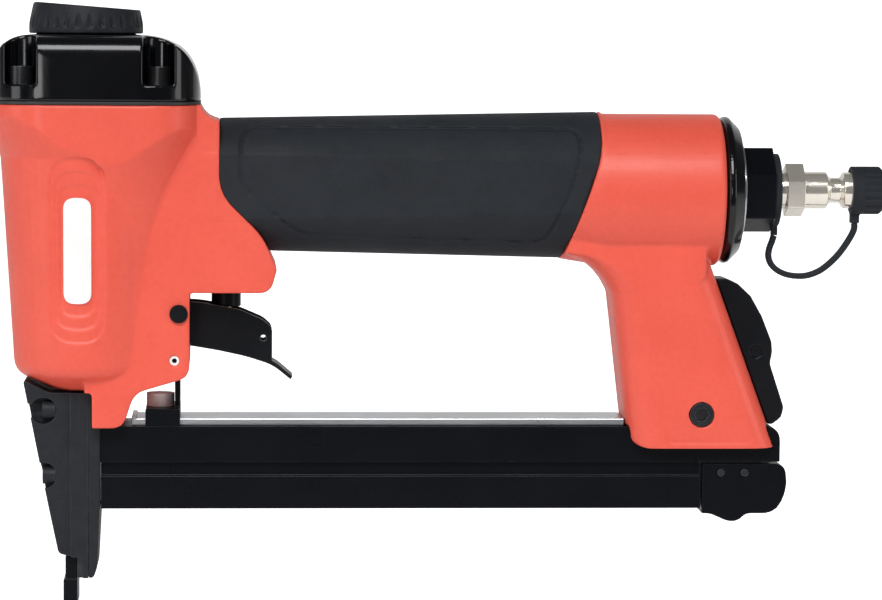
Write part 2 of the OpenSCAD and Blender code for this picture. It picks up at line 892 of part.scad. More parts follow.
module driver_blade() {
    color([0.7, 0.7, 0.68]) difference() {
        block(-blade_t / 2, blade_t / 2, blade_w, blade_z, piston_z + blade_root);
        rod_x(blade_pin_r + pin_slip, -cyl_r, cyl_r, piston_z + blade_root / 2);
    }
}

module blade_pin() {
    color([0.6, 0.6, 0.6]) rod_x(blade_pin_r, -cyl_r + soft_m, cyl_r - soft_m, piston_z + blade_root / 2);
}

// Head valve, which lifts off the sleeve under its spring
valve_disc_t = 4.4;
valve_skirt_r = sleeve_r + soft_s;
valve_disc_r = cap_cav_r - slip;
valve_disc_z = cap_z + gap;
valve_ring_r = 0.6;
head_spring_r = 10;
head_wire = 0.6;
head_turns = 3;
head_valve_top = valve_disc_z + valve_disc_t;
valve_ring_z = valve_disc_z + valve_disc_t / 2;

module head_valve() {
    color([0.85, 0.83, 0.75]) difference() {
        union() {
            rod_z(valve_skirt_r, sleeve_top + gap, head_valve_top);
            rod_z(valve_disc_r, valve_disc_z, head_valve_top);
        }
        difference() {
            rod_z(cap_cav_r, valve_ring_z - valve_ring_r - slip, valve_ring_z + valve_ring_r + slip);
            rod_z(valve_disc_r - 2 * valve_ring_r - slip, cap_z, cap_top);
        }
        rod_z(port_r, sleeve_top, cap_top);
    }
}

module head_valve_o_ring() {
    color([0.08, 0.08, 0.08]) ring_z(valve_disc_r - valve_ring_r, valve_ring_r, valve_ring_z);
}

module head_valve_spring() {
    free = cap_top - cap_roof_t - head_valve_top;
    color([0.7, 0.7, 0.7]) translate([0, 0, head_valve_top + head_wire + slip])
        coil(head_spring_r, head_wire, free - 2 * head_wire - 2 * slip, head_turns);
}

// Exhaust deflector, turned on its screw
knob_z = cap_top + gap;
knob_taper = 1.2;
knob_slope = 4.3;
knob_flutes = 30;
flute_r = 0.8;
window_w = 11;
window_h = 2.6;
knob_seat_t = 3;
knob_head_r = 3.4;
knob_head_t = 2;
knob_thread_l = cap_roof_t - soft_s;

module exhaust_deflector() {
    color([0.12, 0.13, 0.14]) difference() {
        rotate_extrude() polygon(soft([
            [0, knob_z, 0], [knob_r, knob_z, 0], [knob_r, knob_z + window_h, soft_s],
            [knob_r - knob_taper, knob_z + knob_h, soft_s], [0, knob_z + knob_h, 0]
        ]));
        rod_z(knob_r - knob_wall, knob_z - over, knob_z + window_h);
        rod_z(knob_screw_r + pin_slip, knob_z, knob_z + knob_h);
        rod_z(knob_head_r + gap, knob_z + window_h + knob_seat_t, knob_z + 2 * knob_h);
        rotate([0, 0, -90]) block(-2 * knob_r, -knob_r / 2, window_w, knob_z - over, knob_z + window_h);
        for (k = [1:knob_flutes])
            rotate([0, 0, 360 * k / knob_flutes])
                rod_z(flute_r, knob_z + window_h - soft_s, knob_z + 2 * knob_h, knob_r + flute_r / 4);
        translate([-knob_r, 0, knob_z + knob_h]) rotate([0, knob_slope, 0])
            translate([-knob_r, -2 * knob_r, 0]) cube([4 * knob_r, 4 * knob_r, knob_h]);
    }
}

module deflector_screw() {
    seat = knob_z + window_h + knob_seat_t + slip;
    color([0.2, 0.2, 0.2]) difference() {
        union() {
            rod_z(knob_screw_r, cap_top - knob_thread_l, seat + slip);
            rod_z(knob_head_r, seat, seat + knob_head_t - soft_s);
        }
        rod_z(knob_screw_r, seat + slip, seat + knob_head_t, $fn = 6);
    }
}

module label_plates() {
    color([0.95, 0.95, 0.94]) intersection() {
        label_prism([0, 0], frame_d);
        barrel(frame_d - label_t);
    }
}

module grip_sleeve() {
    color([0.13, 0.14, 0.16]) difference() {
        intersection() {
            handle_bar(0);
            grip_block();
        }
        handle_bar(grip_t);
        difference() {
            side_cut(panel_outline(0), 2 * rear_w);
            side_cut(panel_outline(groove_w), 3 * rear_w);
            handle_bar(groove_d);
        }
    }
}

function panel_outline(inset) = soft(placed(panel_shares, grip_start + inset, grip_z - rear_h / 2 + inset,
    grip_l - 2 * inset, rear_h - 2 * inset));

// Air inlet, all turned about the handle's axis
plug_l = 8;
spigot_r = 6;
spigot_l = 5;
inlet_bore_r = 2.4;
washer_t = 0.9;
washer_r = 13;
hex_turn = 8;
disc_end = reach + disc_t;
hex_start = disc_end + washer_t;
hex_end = hex_start + hex_l;
ring_t = 1.6;
ring_end = hex_end + ring_t;
ring_r = hex_af / 2 - gap;
groove_l = 1.9;
nut_l = 4.8;
nut_af = 12.6;
shaft_l = 7.2;
neck_r = 3.4;
neck_len = 2.7;
collar_l = 6.2;
nut_start = ring_end + groove_l;
shaft_start = nut_start + nut_l;
shaft_end = shaft_start + shaft_l;
neck_end = shaft_end + neck_len;
nipple_end = neck_end + collar_l;

function hex_r(af) = af / sqrt(3);

module handle_end_cap() {
    color([0.06, 0.065, 0.08]) difference() {
        union() {
            turned_x([[0, reach], [disc_r - soft_s, reach], [disc_r, reach + soft_s],
                [disc_r, disc_end - soft_m], [disc_r - soft_m, disc_end], [0, disc_end]]);
            rod_x(chamber_r - slip, reach - plug_l, reach + soft_s, handle_z);
        }
        rod_x(spigot_r + pin_slip, reach - plug_l - over, disc_end + over, handle_z);
    }
}

module inlet_washer() {
    color([0.7, 0.71, 0.72]) difference() {
        rod_x(washer_r, disc_end, hex_start, handle_z);
        rod_x(spigot_r + pin_slip, disc_end - over, hex_start + over, handle_z);
    }
}

module inlet_bushing() {
    color([0.06, 0.065, 0.08]) difference() {
        union() {
            rod_x(spigot_r, disc_end - spigot_l, hex_start + soft_s, handle_z);
            translate([hex_start, 0, handle_z]) rotate([hex_turn, 0, 0]) rotate([0, 90, 0])
                cylinder(r = hex_r(hex_af), h = hex_l, $fn = 6);
        }
        rod_x(nipple_r + pin_slip, hex_start, hex_end + over, handle_z);
        rod_x(inlet_bore_r, disc_end - spigot_l - over, hex_end, handle_z);
    }
}

module air_nipple() {
    color([0.85, 0.83, 0.78]) difference() {
        union() {
            translate([nut_start, 0, handle_z]) rotate([hex_turn, 0, 0]) rotate([0, 90, 0])
                cylinder(r = hex_r(nut_af), h = nut_l, $fn = 6);
            turned_x([
                [0, hex_start], [nipple_r, hex_start], [nipple_r, shaft_end - soft_s],
                [neck_r, shaft_end], [neck_r, neck_end], [nipple_r - slip, neck_end + soft_s],
                [nipple_r - slip, nipple_end - soft_s], [neck_r, nipple_end], [0, nipple_end]
            ]);
        }
        rod_x(inlet_bore_r, hex_start - over, nipple_end + over, handle_z);
    }
}

lug_d = 2.4;

module strap_ring() {
    color([0.08, 0.085, 0.09]) difference() {
        union() {
            rod_x(ring_r, hex_end, ring_end, handle_z);
            block(hex_end, ring_end, lug_d, handle_z - ring_r - lug_d, handle_z - ring_r + lug_d);
        }
        rod_x(nipple_r + pin_slip, hex_end - over, ring_end + over, handle_z);
    }
}

// Dust cap over the nipple's end, with a lug for its strap
dust_start = nipple_end - collar_l / 2;
dust_l = 8.6;
dust_end = dust_start + dust_l;
dust_floor = nipple_end + gap;
dust_ribs = 18;
dust_rib_r = 0.5;

module dust_cap() {
    color([0.1, 0.11, 0.12]) difference() {
        union() {
            turned_x([[0, dust_start], [dust_r, dust_start], [dust_r, dust_end - soft_s],
                [dust_r - soft_s, dust_end], [0, dust_end]]);
            block(dust_start, dust_start + lug_d, lug_d,
                handle_z - dust_r - lug_d, handle_z - dust_r + lug_d);
        }
        rod_x(nipple_r + pin_slip, dust_start - over, dust_floor, handle_z);
        for (k = [1:dust_ribs])
            translate([dust_start + soft_m, 0, handle_z]) rotate([360 * (k + 1 / 2) / dust_ribs, 0, 0])
                rod_x(dust_rib_r, 0, dust_l, dust_r + dust_rib_r / 4);
    }
}

// Strap route from the ring's lug round to the dust cap's lug
strap_r = 0.8;
strap_sides = 8;
strap_route = [
    [183.5, 0, 98.2], [183, 0, 96.6], [182.3, 0, 94.6], [182.1, 0, 92.6], [182.8, 0, 90.6],
    [184.5, 0, 88.9], [187.2, 0, 87.7], [190.6, 0, 87.3], [193.4, 0, 87.7], [196.2, 0, 88.9],
    [198.8, 0, 90.9], [201.2, 0, 93.4], [203.2, 0, 96.2], [204.6, 0, 98.6], [205.2, 0, 100.2],
    [205.2, 0, 101.5]
];

module dust_cap_strap() {
    color([0.09, 0.095, 0.1]) tube(strap_route, strap_r, strap_sides);
}

// Trigger, in shares of its length from the pin
trigger_shares = [
    [-0.12, 0.1, 0.04], [0.2, 0.1, 0.1], [0.64, 0.02, 0.05], [0.9, -0.09, 0.05], [1, -0.18, 0.05],
    [1, -0.56, 0], [0.72, -0.47, 0.05], [0.42, -0.4, 0.05], [0.12, -0.355, 0], [-0.12, -0.35, 0.04]
];
finger_shares = [
    [0.12, -0.375, 0], [0.42, -0.425, 0.1], [0.72, -0.49, 0.1], [1, -0.58, 0.1], [1.2, -0.74, 0],
    [1.22, -0.705, 0], [1.02, -0.535, 0.1], [0.72, -0.447, 0.1], [0.42, -0.384, 0.1], [0.12, -0.335, 0]
];
eye_share = [0.905, -0.29];
eye_r = 0.8;
bridge_drop = 2.4;
pin_head_r = 2.4;
pin_head_t = 0.8;

module trigger() {
    color([0.1, 0.11, 0.13]) difference() {
        union() {
            for (s = [-1, 1])
                translate([0, s * (trigger_w - trigger_t) / 2, 0])
                    side_cut(soft(placed(trigger_shares, pivot_x, pivot_z, trigger_l, trigger_l)), trigger_t);
            side_cut(soft(placed(finger_shares, pivot_x, pivot_z, trigger_l, trigger_l)), trigger_w);
            block(valve_x - valve_r, valve_x + valve_r, trigger_w - trigger_t,
                pivot_z - bridge_drop - trigger_t, pivot_z - bridge_drop);
        }
        rod_y(pin_r + pin_slip, 2 * trigger_w, pivot_x, pivot_z);
        rod_y(eye_r, 2 * trigger_w,
            pivot_x + eye_share[0] * trigger_l, pivot_z + eye_share[1] * trigger_l);
    }
}

module trigger_pin() {
    color([0.12, 0.12, 0.12]) {
        translate([0, -pin_head_t / 2, 0]) rod_y(pin_r, web_w + pin_head_t, pivot_x, pivot_z);
        translate([0, -(web_w + pin_head_t) / 2, 0]) rod_y(pin_head_r, pin_head_t, pivot_x, pivot_z);
    }
}

module roll_pin() {
    color([0.2, 0.2, 0.2]) difference() {
        rod_y(roll_pin_r, web_w - soft_s, roll_pin_x, roll_pin_z);
        rod_y(roll_pin_r / 2, web_w, roll_pin_x, roll_pin_z);
    }
}

// Trigger valve: body, stem, seals and spring
valve_drop = 3;
valve_z = valve_face_z - valve_drop;
valve_l = 18;
valve_top = valve_z + valve_l;
stem_r = 1.3;
stem_head_r = 2.3;
stem_head_t = 2;
stem_gap = 0.35;
stem_z = pivot_z - bridge_drop + stem_gap;
stem_seat_share = 0.4;
stem_seat_z = valve_z + stem_seat_share * valve_l;
valve_chamber_r = stem_head_r + gap;
stem_spring_r = 1.7;
stem_wire = 0.3;
stem_turns = 5;
ring_first_share = 0.6;
ring_pitch_share = 1.4;

function valve_ring_height(k) = ceiling_z + (ring_first_share + k * ring_pitch_share) * o_groove_d;

module valve_body() {
    color([0.08, 0.08, 0.09]) difference() {
        rod_z(valve_r, valve_z, valve_top, valve_x);
        rod_z(stem_r + pin_slip, valve_z - over, stem_seat_z, valve_x);
        rod_z(valve_chamber_r, stem_seat_z, valve_top - soft_s, valve_x);
        rod_z(stem_wire, valve_z, valve_top + over, valve_x);
        for (k = [0, 1]) difference() {
            translate([0, 0, valve_ring_height(k)])
                rod_z(valve_r + over, -o_groove_d / 2, o_groove_d / 2, valve_x);
            rod_z(valve_r - o_groove_d, valve_z, valve_top, valve_x);
        }
    }
}

module valve_o_rings() {
    color([0.05, 0.05, 0.05])
        for (k = [0, 1]) ring_z(valve_r - o_groove_d / 2, o_ring_r, valve_ring_height(k), valve_x);
}

module valve_stem() {
    color([0.8, 0.7, 0.4]) {
        rod_z(stem_r, stem_z, stem_seat_z + stem_head_t, valve_x);
        rod_z(stem_head_r, stem_seat_z + slip, stem_seat_z + slip + stem_head_t, valve_x);
    }
}

module valve_spring() {
    low = stem_seat_z + slip + stem_head_t + stem_wire + slip;
    color([0.7, 0.7, 0.7]) translate([valve_x, 0, low])
        coil(stem_spring_r, stem_wire, valve_top - soft_s - low - stem_wire - slip, stem_turns);
}

// Fixed rail, its bar, hanger and bolt
hanger_set = 5.8;
hanger_l = 9.1;
hanger_h = 4.6;
post_t = 1.4;
bar_set = 2.2;
bar_margin = 2;
hanger_x = block_l + hanger_set;
hanger_end = hanger_x + hanger_l;
bar_start = block_l + bar_set;
bar_w = mag_w - 2 * bar_margin;
lip_t = 1.2;
lip_h = 2.4;
hanger_screw_r = 1.5;
hanger_head_r = 3.7;
hanger_head_t = 3.4;
rail_soft = 4;

module half_and_mirror() {
    children();
    mirror([1, 0]) children();
}

module rail_profile() {
    difference() {
        translate([-mag_y, rail_z]) square([mag_w, rail_h]);
        translate([-cav_y, rail_z - over]) square([2 * cav_y, rail_h - roof_t + over]);
        half_and_mirror() {
            translate([tongue_y - slip, rail_z - over])
                square([tongue_t + 2 * slip, over + tongue_h - hook_h]);
            translate([tongue_y - slip, rail_z + tongue_h - hook_h - slip])
                square([hook_t + 2 * slip, hook_h + 2 * slip]);
        }
    }
}

module fixed_rail() {
    color([0.05, 0.06, 0.08]) difference() {
        union() {
            intersection() {
                along_x(guide_back, rail_end) rail_profile();
                side_cut(soft([[guide_back, rail_z, 0], [rail_end, rail_z, 0],
                    [rail_end, rail_top, rail_soft], [guide_back, rail_top, 0]]), 2 * mag_w);
            }
            block(bolt_x - lug_l / 2, bolt_x + lug_l / 2, lug_w, rail_top - soft_s, bolt_z + lug_h - soft_s);
        }
        rod_y(bolt_r + pin_slip, 2 * lug_w, bolt_x, bolt_z);
        rod_z(hanger_screw_r + pin_slip, crown_top - over, bar_top, hanger_x + hanger_l / 2);
    }
}

module top_bar() {
    color([0.82, 0.82, 0.8]) difference() {
        union() {
            block(bar_start, leg_front - soft_s, bar_w, rail_top, bar_top);
            block(bar_start, bar_start + lip_t, bar_w, rail_top, rail_top + lip_h);
        }
        rod_z(hanger_screw_r + pin_slip, rail_top - over, bar_top + over, hanger_x + hanger_l / 2);
    }
}

module hanger_slot() {
    block(hanger_end - post_t - slip, hanger_end + slip, trigger_w + 2 * slip, foot_z, web_foot_z + slip);
}

module front_hanger() {
    color([0.05, 0.06, 0.08]) difference() {
        union() {
            block(hanger_x, hanger_end, mag_w, rail_top, rail_top + hanger_h);
            block(hanger_end - post_t, hanger_end, trigger_w, rail_top, web_foot_z);
        }
        block(hanger_x - over, hanger_end + over, bar_w, rail_top - over, bar_top);
        rod_z(hanger_screw_r + pin_slip, rail_top, rail_top + hanger_h + over, hanger_x + hanger_l / 2);
    }
}

module hanger_screw() {
    color([0.7, 0.7, 0.7]) {
        rod_z(hanger_screw_r, crown_top + gap, rail_top + hanger_h + hanger_head_t / 2,
            hanger_x + hanger_l / 2);
        translate([0, 0, rail_top + hanger_h])
            rod_z(hanger_head_r, 0, hanger_head_t, hanger_x + (hanger_l - post_t) / 2);
    }
}

bolt_head_t = 2.6;
bolt_play = 0.2;

module bolt_recess(s) {
    translate([0, s * leg_w / 2, 0]) rod_y(bolt_head_r + bolt_play, 2 * bolt_head_t, bolt_x, bolt_z);
}

module magazine_bolt() {
    color([0.14, 0.15, 0.16]) difference() {
        union() {
            translate([0, 3 * bolt_head_t / 8, 0]) rod_y(bolt_r, leg_w - 3 * bolt_head_t / 4, bolt_x, bolt_z);
            translate([0, -(leg_w - bolt_head_t) / 2, 0]) rod_y(bolt_head_r, bolt_head_t, bolt_x, bolt_z);
        }
        translate([0, -leg_w / 2, 0]) rod_y(bolt_r, bolt_head_t, bolt_x, bolt_z, $fn = 6);
    }
}

module bolt_nut() {
    color([0.14, 0.15, 0.16]) translate([0, (leg_w - bolt_head_t) / 2, 0]) difference() {
        rod_y(bolt_head_r, bolt_head_t, bolt_x, bolt_z, $fn = 6);
        rod_y(bolt_r + pin_slip, bolt_head_t + over, bolt_x, bolt_z);
    }
}

// Sliding magazine with the staple rail, tail and pusher
slide_floor_t = 1.5;
slide_start = guide_back + gap;
tail_gap = 0.4;
tail_over = 2.2;
tail_start = rail_end + tail_over - tail_l;
slide_end = tail_start - tail_gap;
crown_room = 1.6;
core_top = crown_top - crown_room;
core_start = channel_x + gap;
core_inset = 3;
core_back = rail_end - core_inset;
core_step_z = slide_z + slide_h / 2;
slot_y = 3.2;
slot_z = slide_top;
slot_start = guide_back + gap;
slot_inset = 14.5;
slot_end = slide_end - slot_inset;
rod_r = 1.25;
rod_z_mid = (slot_z + core_top) / 2;
rod_grip = 2;
pusher_l = 16;
pusher_skirt = 13;
pusher_block_l = 8;
pusher_spring_r = 2.2;
pusher_wire = 0.35;
pusher_turns = 16;
tail_pin_r = 1;
tail_pin_sets = [5, 11.4];
tail_pin_rise = 0.8;
tail_play = 0.6;
tail_pin_x = [for (set = tail_pin_sets) tail_start + set];
tail_pin_z = slide_top + tail_pin_rise;
tail_top = rail_z - tail_play;
tail_drop = 2.2;
tail_z = slide_z - tail_drop;

module sliding_magazine() {
    color([0.05, 0.06, 0.08]) along_x(slide_start, slide_end) {
        translate([-mag_y, slide_z]) square([mag_w, slide_floor_t]);
        half_and_mirror() {
            translate([tongue_y, slide_z]) square([mag_y - tongue_y, slide_h]);
            translate([tongue_y, slide_z]) square([tongue_t, rail_z + tongue_h - slide_z]);
            translate([tongue_y, rail_z + tongue_h - hook_h]) square([hook_t, hook_h]);
        }
    }
}

module staple_rail() {
    color([0.45, 0.46, 0.48]) difference() {
        side_cut([
            [core_start, slide_z + slide_floor_t], [slide_end, slide_z + slide_floor_t],
            [slide_end, core_step_z], [core_back, core_step_z], [core_back, core_top], [core_start, core_top]
        ], 2 * core_y);
        block(slot_start, slot_end, 2 * slot_y, slot_z, core_top + over);
        rod_x(rod_r, slot_start - rod_grip, slot_end + rod_grip, rod_z_mid);
        for (x = tail_pin_x) rod_y(tail_pin_r + pin_slip, mag_w, x, tail_pin_z);
    }
}

// Tail outline in shares of its length and height
tail_shares = [
    [0, 0.05, 0], [0.1, 0.05, 0.1], [0.3, -0.1, 0.1], [0.42, -0.1, 0.1], [0.52, 0.05, 0.1],
    [0.86, 0.05, 0.3], [1, 0.5, 0.3], [0.97, 1, 0.2], [0, 1, 0.03]
];

module magazine_tail() {
    color([0.05, 0.06, 0.08]) difference() {
        side_cut(soft(placed(tail_shares, tail_start, tail_z, tail_l, tail_top - tail_z)), mag_w);
        block(tail_start - over, core_back, 2 * core_y, core_step_z, tail_top + over);
        for (x = tail_pin_x) rod_y(tail_pin_r + pin_slip, 2 * mag_w, x, tail_pin_z);
    }
}

module tail_pins() {
    color([0.3, 0.3, 0.3]) for (x = tail_pin_x) rod_y(tail_pin_r, mag_w + soft_s / 2, x, tail_pin_z);
}

module pusher_key(top) {
    block(slot_start + gap, slot_start + gap + pusher_block_l, 2 * (slot_y - gap), slot_z + gap, top);
}

module pusher() {
    color([0.6, 0.6, 0.58]) difference() {
        union() {
            block(core_start, core_start + pusher_l, 2 * (cav_y - slip),
                core_top - pusher_skirt, crown_top - slip);
            pusher_key(core_top + slip);
        }
        difference() {
            block(core_start - over, core_start + pusher_l + over, 2 * (core_y + slip),
                core_top - pusher_skirt - over, core_top + slip);
            pusher_key(crown_top);
        }
        rod_x(rod_r + slip, core_start, slot_end, rod_z_mid);
    }
}

module pusher_rod() {
    color([0.75, 0.75, 0.73]) rod_x(rod_r, slot_start - rod_grip, slot_end + rod_grip, rod_z_mid);
}

module pusher_spring() {
    first = slot_start + gap + pusher_block_l + pusher_wire + slip;
    color([0.7, 0.7, 0.7]) translate([first, 0, rod_z_mid]) rotate([0, 90, 0])
        coil(pusher_spring_r, pusher_wire, slot_end - first - pusher_wire - slip, pusher_turns);
}

// Latch lever behind the leg: shares of its height from the top and of its thickness
latch_t = 9;
latch_shares = [
    [0, 0.3], [0.035, 0.6], [0.12, 0.86], [0.26, 0.98], [0.43, 1], [0.5, 0.92], [0.585, 0.72],
    [0.7, 0.7], [0.885, 0.67], [0.95, 0.5], [1, 0.17]
];
latch_turns = 4;

function latch_height(s) = latch_top - s * latch_h;

module latch_lever() {
    outer = [
        for (s = latch_shares)
            [leg_back_x(latch_height(s[0])) + gap + s[1] * latch_t, latch_height(s[0])]
    ];
    inner = [[leg_back_x(latch_foot) + gap, latch_foot], [leg_back_x(latch_top) + gap, latch_top]];
    color([0.06, 0.065, 0.08]) difference() {
        side_cut(concat(outer, inner), latch_w);
        rod_y(latch_lug_r + gap, latch_lug_w + 2 * gap, latch_x, latch_z);
        block(leg_back_x(latch_top), latch_x, latch_lug_w + 2 * gap,
            latch_z - latch_lug_r - soft_s, latch_z + latch_lug_r + soft_s);
        rod_y(latch_pin_r + pin_slip, 2 * latch_w, latch_x, latch_z);
    }
}

module latch_pin() {
    color([0.3, 0.3, 0.3]) rod_y(latch_pin_r, latch_w, latch_x, latch_z);
}

latch_spring_x = leg_back_x(spring_z) + gap - slip - latch_spring_l;

module latch_spring() {
    color([0.7, 0.7, 0.7]) translate([latch_spring_x + latch_wire, 0, spring_z]) rotate([0, 90, 0])
        coil(latch_spring_r, latch_wire, latch_spring_l - 2 * latch_wire, latch_turns);
}

housing();
head_cap();
cap_gasket();
cap_screws();
cylinder_sleeve();
sleeve_o_rings();
bumper();
piston();
piston_o_ring();
driver_blade();
blade_pin();
head_valve();
head_valve_o_ring();
head_valve_spring();
exhaust_deflector();
deflector_screw();
label_plates();
grip_sleeve();
handle_end_cap();
inlet_washer();
inlet_bushing();
air_nipple();
strap_ring();
dust_cap_strap();
dust_cap();
trigger();
trigger_pin();
roll_pin();
valve_body();
valve_o_rings();
valve_stem();
valve_spring();
nose_front_plate();
nose_tip();
guide_strip();
nose_rear_guide();
nose_screws();
fixed_rail();
top_bar();
front_hanger();
hanger_screw();
magazine_bolt();
bolt_nut();
sliding_magazine();
staple_rail();
magazine_tail();
tail_pins();
pusher();
pusher_rod();
pusher_spring();
latch_lever();
latch_pin();
latch_spring();
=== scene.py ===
"""Pneumatic upholstery stapler: finishes, eased edges, strap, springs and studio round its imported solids."""

import json
import math

import bpy
from mathutils import Euler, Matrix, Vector


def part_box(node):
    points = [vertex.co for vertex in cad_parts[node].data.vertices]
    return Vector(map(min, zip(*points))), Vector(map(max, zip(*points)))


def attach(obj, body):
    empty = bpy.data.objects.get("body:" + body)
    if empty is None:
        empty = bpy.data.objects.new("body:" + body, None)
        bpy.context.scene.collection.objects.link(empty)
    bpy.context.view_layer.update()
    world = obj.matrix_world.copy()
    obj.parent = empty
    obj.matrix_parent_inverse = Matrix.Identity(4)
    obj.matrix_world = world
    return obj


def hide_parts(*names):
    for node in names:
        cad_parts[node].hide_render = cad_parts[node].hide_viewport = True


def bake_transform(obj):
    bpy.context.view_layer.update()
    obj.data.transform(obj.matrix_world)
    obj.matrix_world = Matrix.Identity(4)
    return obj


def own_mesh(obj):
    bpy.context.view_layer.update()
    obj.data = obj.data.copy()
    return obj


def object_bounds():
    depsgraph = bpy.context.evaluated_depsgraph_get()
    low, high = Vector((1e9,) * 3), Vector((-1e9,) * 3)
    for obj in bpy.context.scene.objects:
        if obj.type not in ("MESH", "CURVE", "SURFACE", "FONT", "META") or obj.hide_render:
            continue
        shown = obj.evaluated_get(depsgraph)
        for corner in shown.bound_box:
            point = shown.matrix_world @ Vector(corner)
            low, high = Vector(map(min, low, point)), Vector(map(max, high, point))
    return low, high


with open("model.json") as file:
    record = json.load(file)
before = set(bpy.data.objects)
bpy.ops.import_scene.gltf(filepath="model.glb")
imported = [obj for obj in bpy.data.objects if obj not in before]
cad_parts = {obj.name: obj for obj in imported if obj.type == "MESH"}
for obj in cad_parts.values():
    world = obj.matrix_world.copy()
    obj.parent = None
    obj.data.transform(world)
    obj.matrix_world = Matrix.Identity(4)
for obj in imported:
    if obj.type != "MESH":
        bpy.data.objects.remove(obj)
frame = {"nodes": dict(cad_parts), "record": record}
nodes = frame["nodes"]
cad_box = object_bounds()

MM = 0.001

# The photograph: its size, its scale and the pixel of the frame's origin at the nose, then where it was
# taken from, square on to the tool's side and a little from above
PHOTO_SIZE = (882, 600)
PHOTO_MM_PER_PIXEL = 0.267
NOSE_PIXEL = (88, 602)
CAMERA_AWAY = 950 * MM
CAMERA_ABOVE = math.radians(4.5)
CAMERA_ROUND = math.radians(-3.4)
CAMERA_ROLL = math.radians(-0.4)
CAMERA_CLIP = 10 * MM
SENSOR_W = 36


def set_camera():
    """The photograph's camera, from its scale at the tool's middle plane."""
    shown_w = PHOTO_SIZE[0] * PHOTO_MM_PER_PIXEL * MM
    across = (PHOTO_SIZE[0] / 2 - NOSE_PIXEL[0]) * PHOTO_MM_PER_PIXEL * MM
    height = (NOSE_PIXEL[1] - PHOTO_SIZE[1] / 2) * PHOTO_MM_PER_PIXEL * MM
    data = bpy.data.cameras.new("camera")
    data.sensor_width = SENSOR_W
    data.lens = SENSOR_W * CAMERA_AWAY / shown_w
    data.clip_start = CAMERA_CLIP
    camera = bpy.data.objects.new("camera", data)
    turn = Euler((math.radians(90) - CAMERA_ABOVE, CAMERA_ROLL, CAMERA_ROUND))
    camera.rotation_euler = turn
    camera.location = Vector((across, 0, height)) + turn.to_matrix() @ Vector((0, 0, CAMERA_AWAY))
    bpy.context.scene.collection.objects.link(camera)
    bpy.context.scene.camera = camera


# Shader helpers


def node(tree, kind, **settings):
    """A new shader node with its settings; a name that is an input socket sets that socket's value."""
    made = tree.nodes.new("ShaderNode" + kind)
    for name, value in settings.items():
        if hasattr(made, name):
            setattr(made, name, value)
        else:
            made.inputs[name.replace("_", " ").title()].default_value = value
    return made


def effect(name, inputs, outputs):
    """An empty shader node group with float inputs, their values, and float outputs."""
    tree = bpy.data.node_groups.new(name, "ShaderNodeTree")
    for label, value in inputs.items():
        socket = tree.interface.new_socket(label, in_out="INPUT", socket_type="NodeSocketFloat")
        socket.default_value = value
    for label in outputs:
        tree.interface.new_socket(label, in_out="OUTPUT", socket_type="NodeSocketFloat")
    return tree, tree.nodes.new("NodeGroupInput"), tree.nodes.new("NodeGroupOutput")


def feed(tree, socket, value):
    """Gives an input socket a value of its own or a link from another socket."""
    if isinstance(value, bpy.types.NodeSocket):
        tree.links.new(value, socket)
    else:
        socket.default_value = value


def maths(tree, operation, a, b):
    """A maths node on two sockets or numbers; gives its output socket."""
    made = node(tree, "Math", operation=operation)
    feed(tree, made.inputs[0], a)
    feed(tree, made.inputs[1], b)
    return made.outputs[0]


def spread(tree, value, low, high, to_low, to_high):
    """A value mapped from one range to another and held inside it."""
    made = node(tree, "MapRange", clamp=True)
    labels = ("Value", "From Min", "From Max", "To Min", "To Max")
    for label, given in zip(labels, (value, low, high, to_low, to_high)):
        feed(tree, made.inputs[label], given)
    return made.outputs["Result"]


def place(tree):
    """The point on the piece, in metres, which moves with it."""
    return tree.nodes.new("ShaderNodeTexCoord").outputs["Object"]


# Ranges of noise that the finishes stretch to full, and how closely normals agree on flats and on edges
SKIN_TONES = (0.35, 0.65)
LINE_TONES = (0.3, 0.7)
GLOSS_TONES = (0.3, 0.7)
# Patchiness of scuffed edges, which on some finishes are painted highlights
SCUFF_AND_HIGHLIGHT_TONES = (0.35, 0.6)
SCUFF_AND_HIGHLIGHT_LEAST = 0.25
FLAT_AGREES = 0.99
EDGE_AGREES = 0.80


def cast_skin():
    """Fine skin of a casting or moulding: grains over slow swells, as a height and a tone about a half."""
    sizes = {"Grain": 1800, "Swell": 90, "Swell Share": 0.5}
    tree, given, out = effect("cast skin", sizes, ["Height", "Tone"])
    where = place(tree)
    fine = node(tree, "TexNoise", detail=3.0, roughness=0.6)
    slow = node(tree, "TexNoise", detail=2.0, roughness=0.5)
    for noise, scale in ((fine, "Grain"), (slow, "Swell")):
        tree.links.new(where, noise.inputs["Vector"])
        tree.links.new(given.outputs[scale], noise.inputs["Scale"])
    swell = maths(tree, "MULTIPLY", slow.outputs["Fac"], given.outputs["Swell Share"])
    tree.links.new(maths(tree, "ADD", fine.outputs["Fac"], swell), out.inputs["Height"])
    both = maths(tree, "ADD", fine.outputs["Fac"], slow.outputs["Fac"])
    tree.links.new(maths(tree, "MULTIPLY", both, 0.5), out.inputs["Tone"])
    return tree


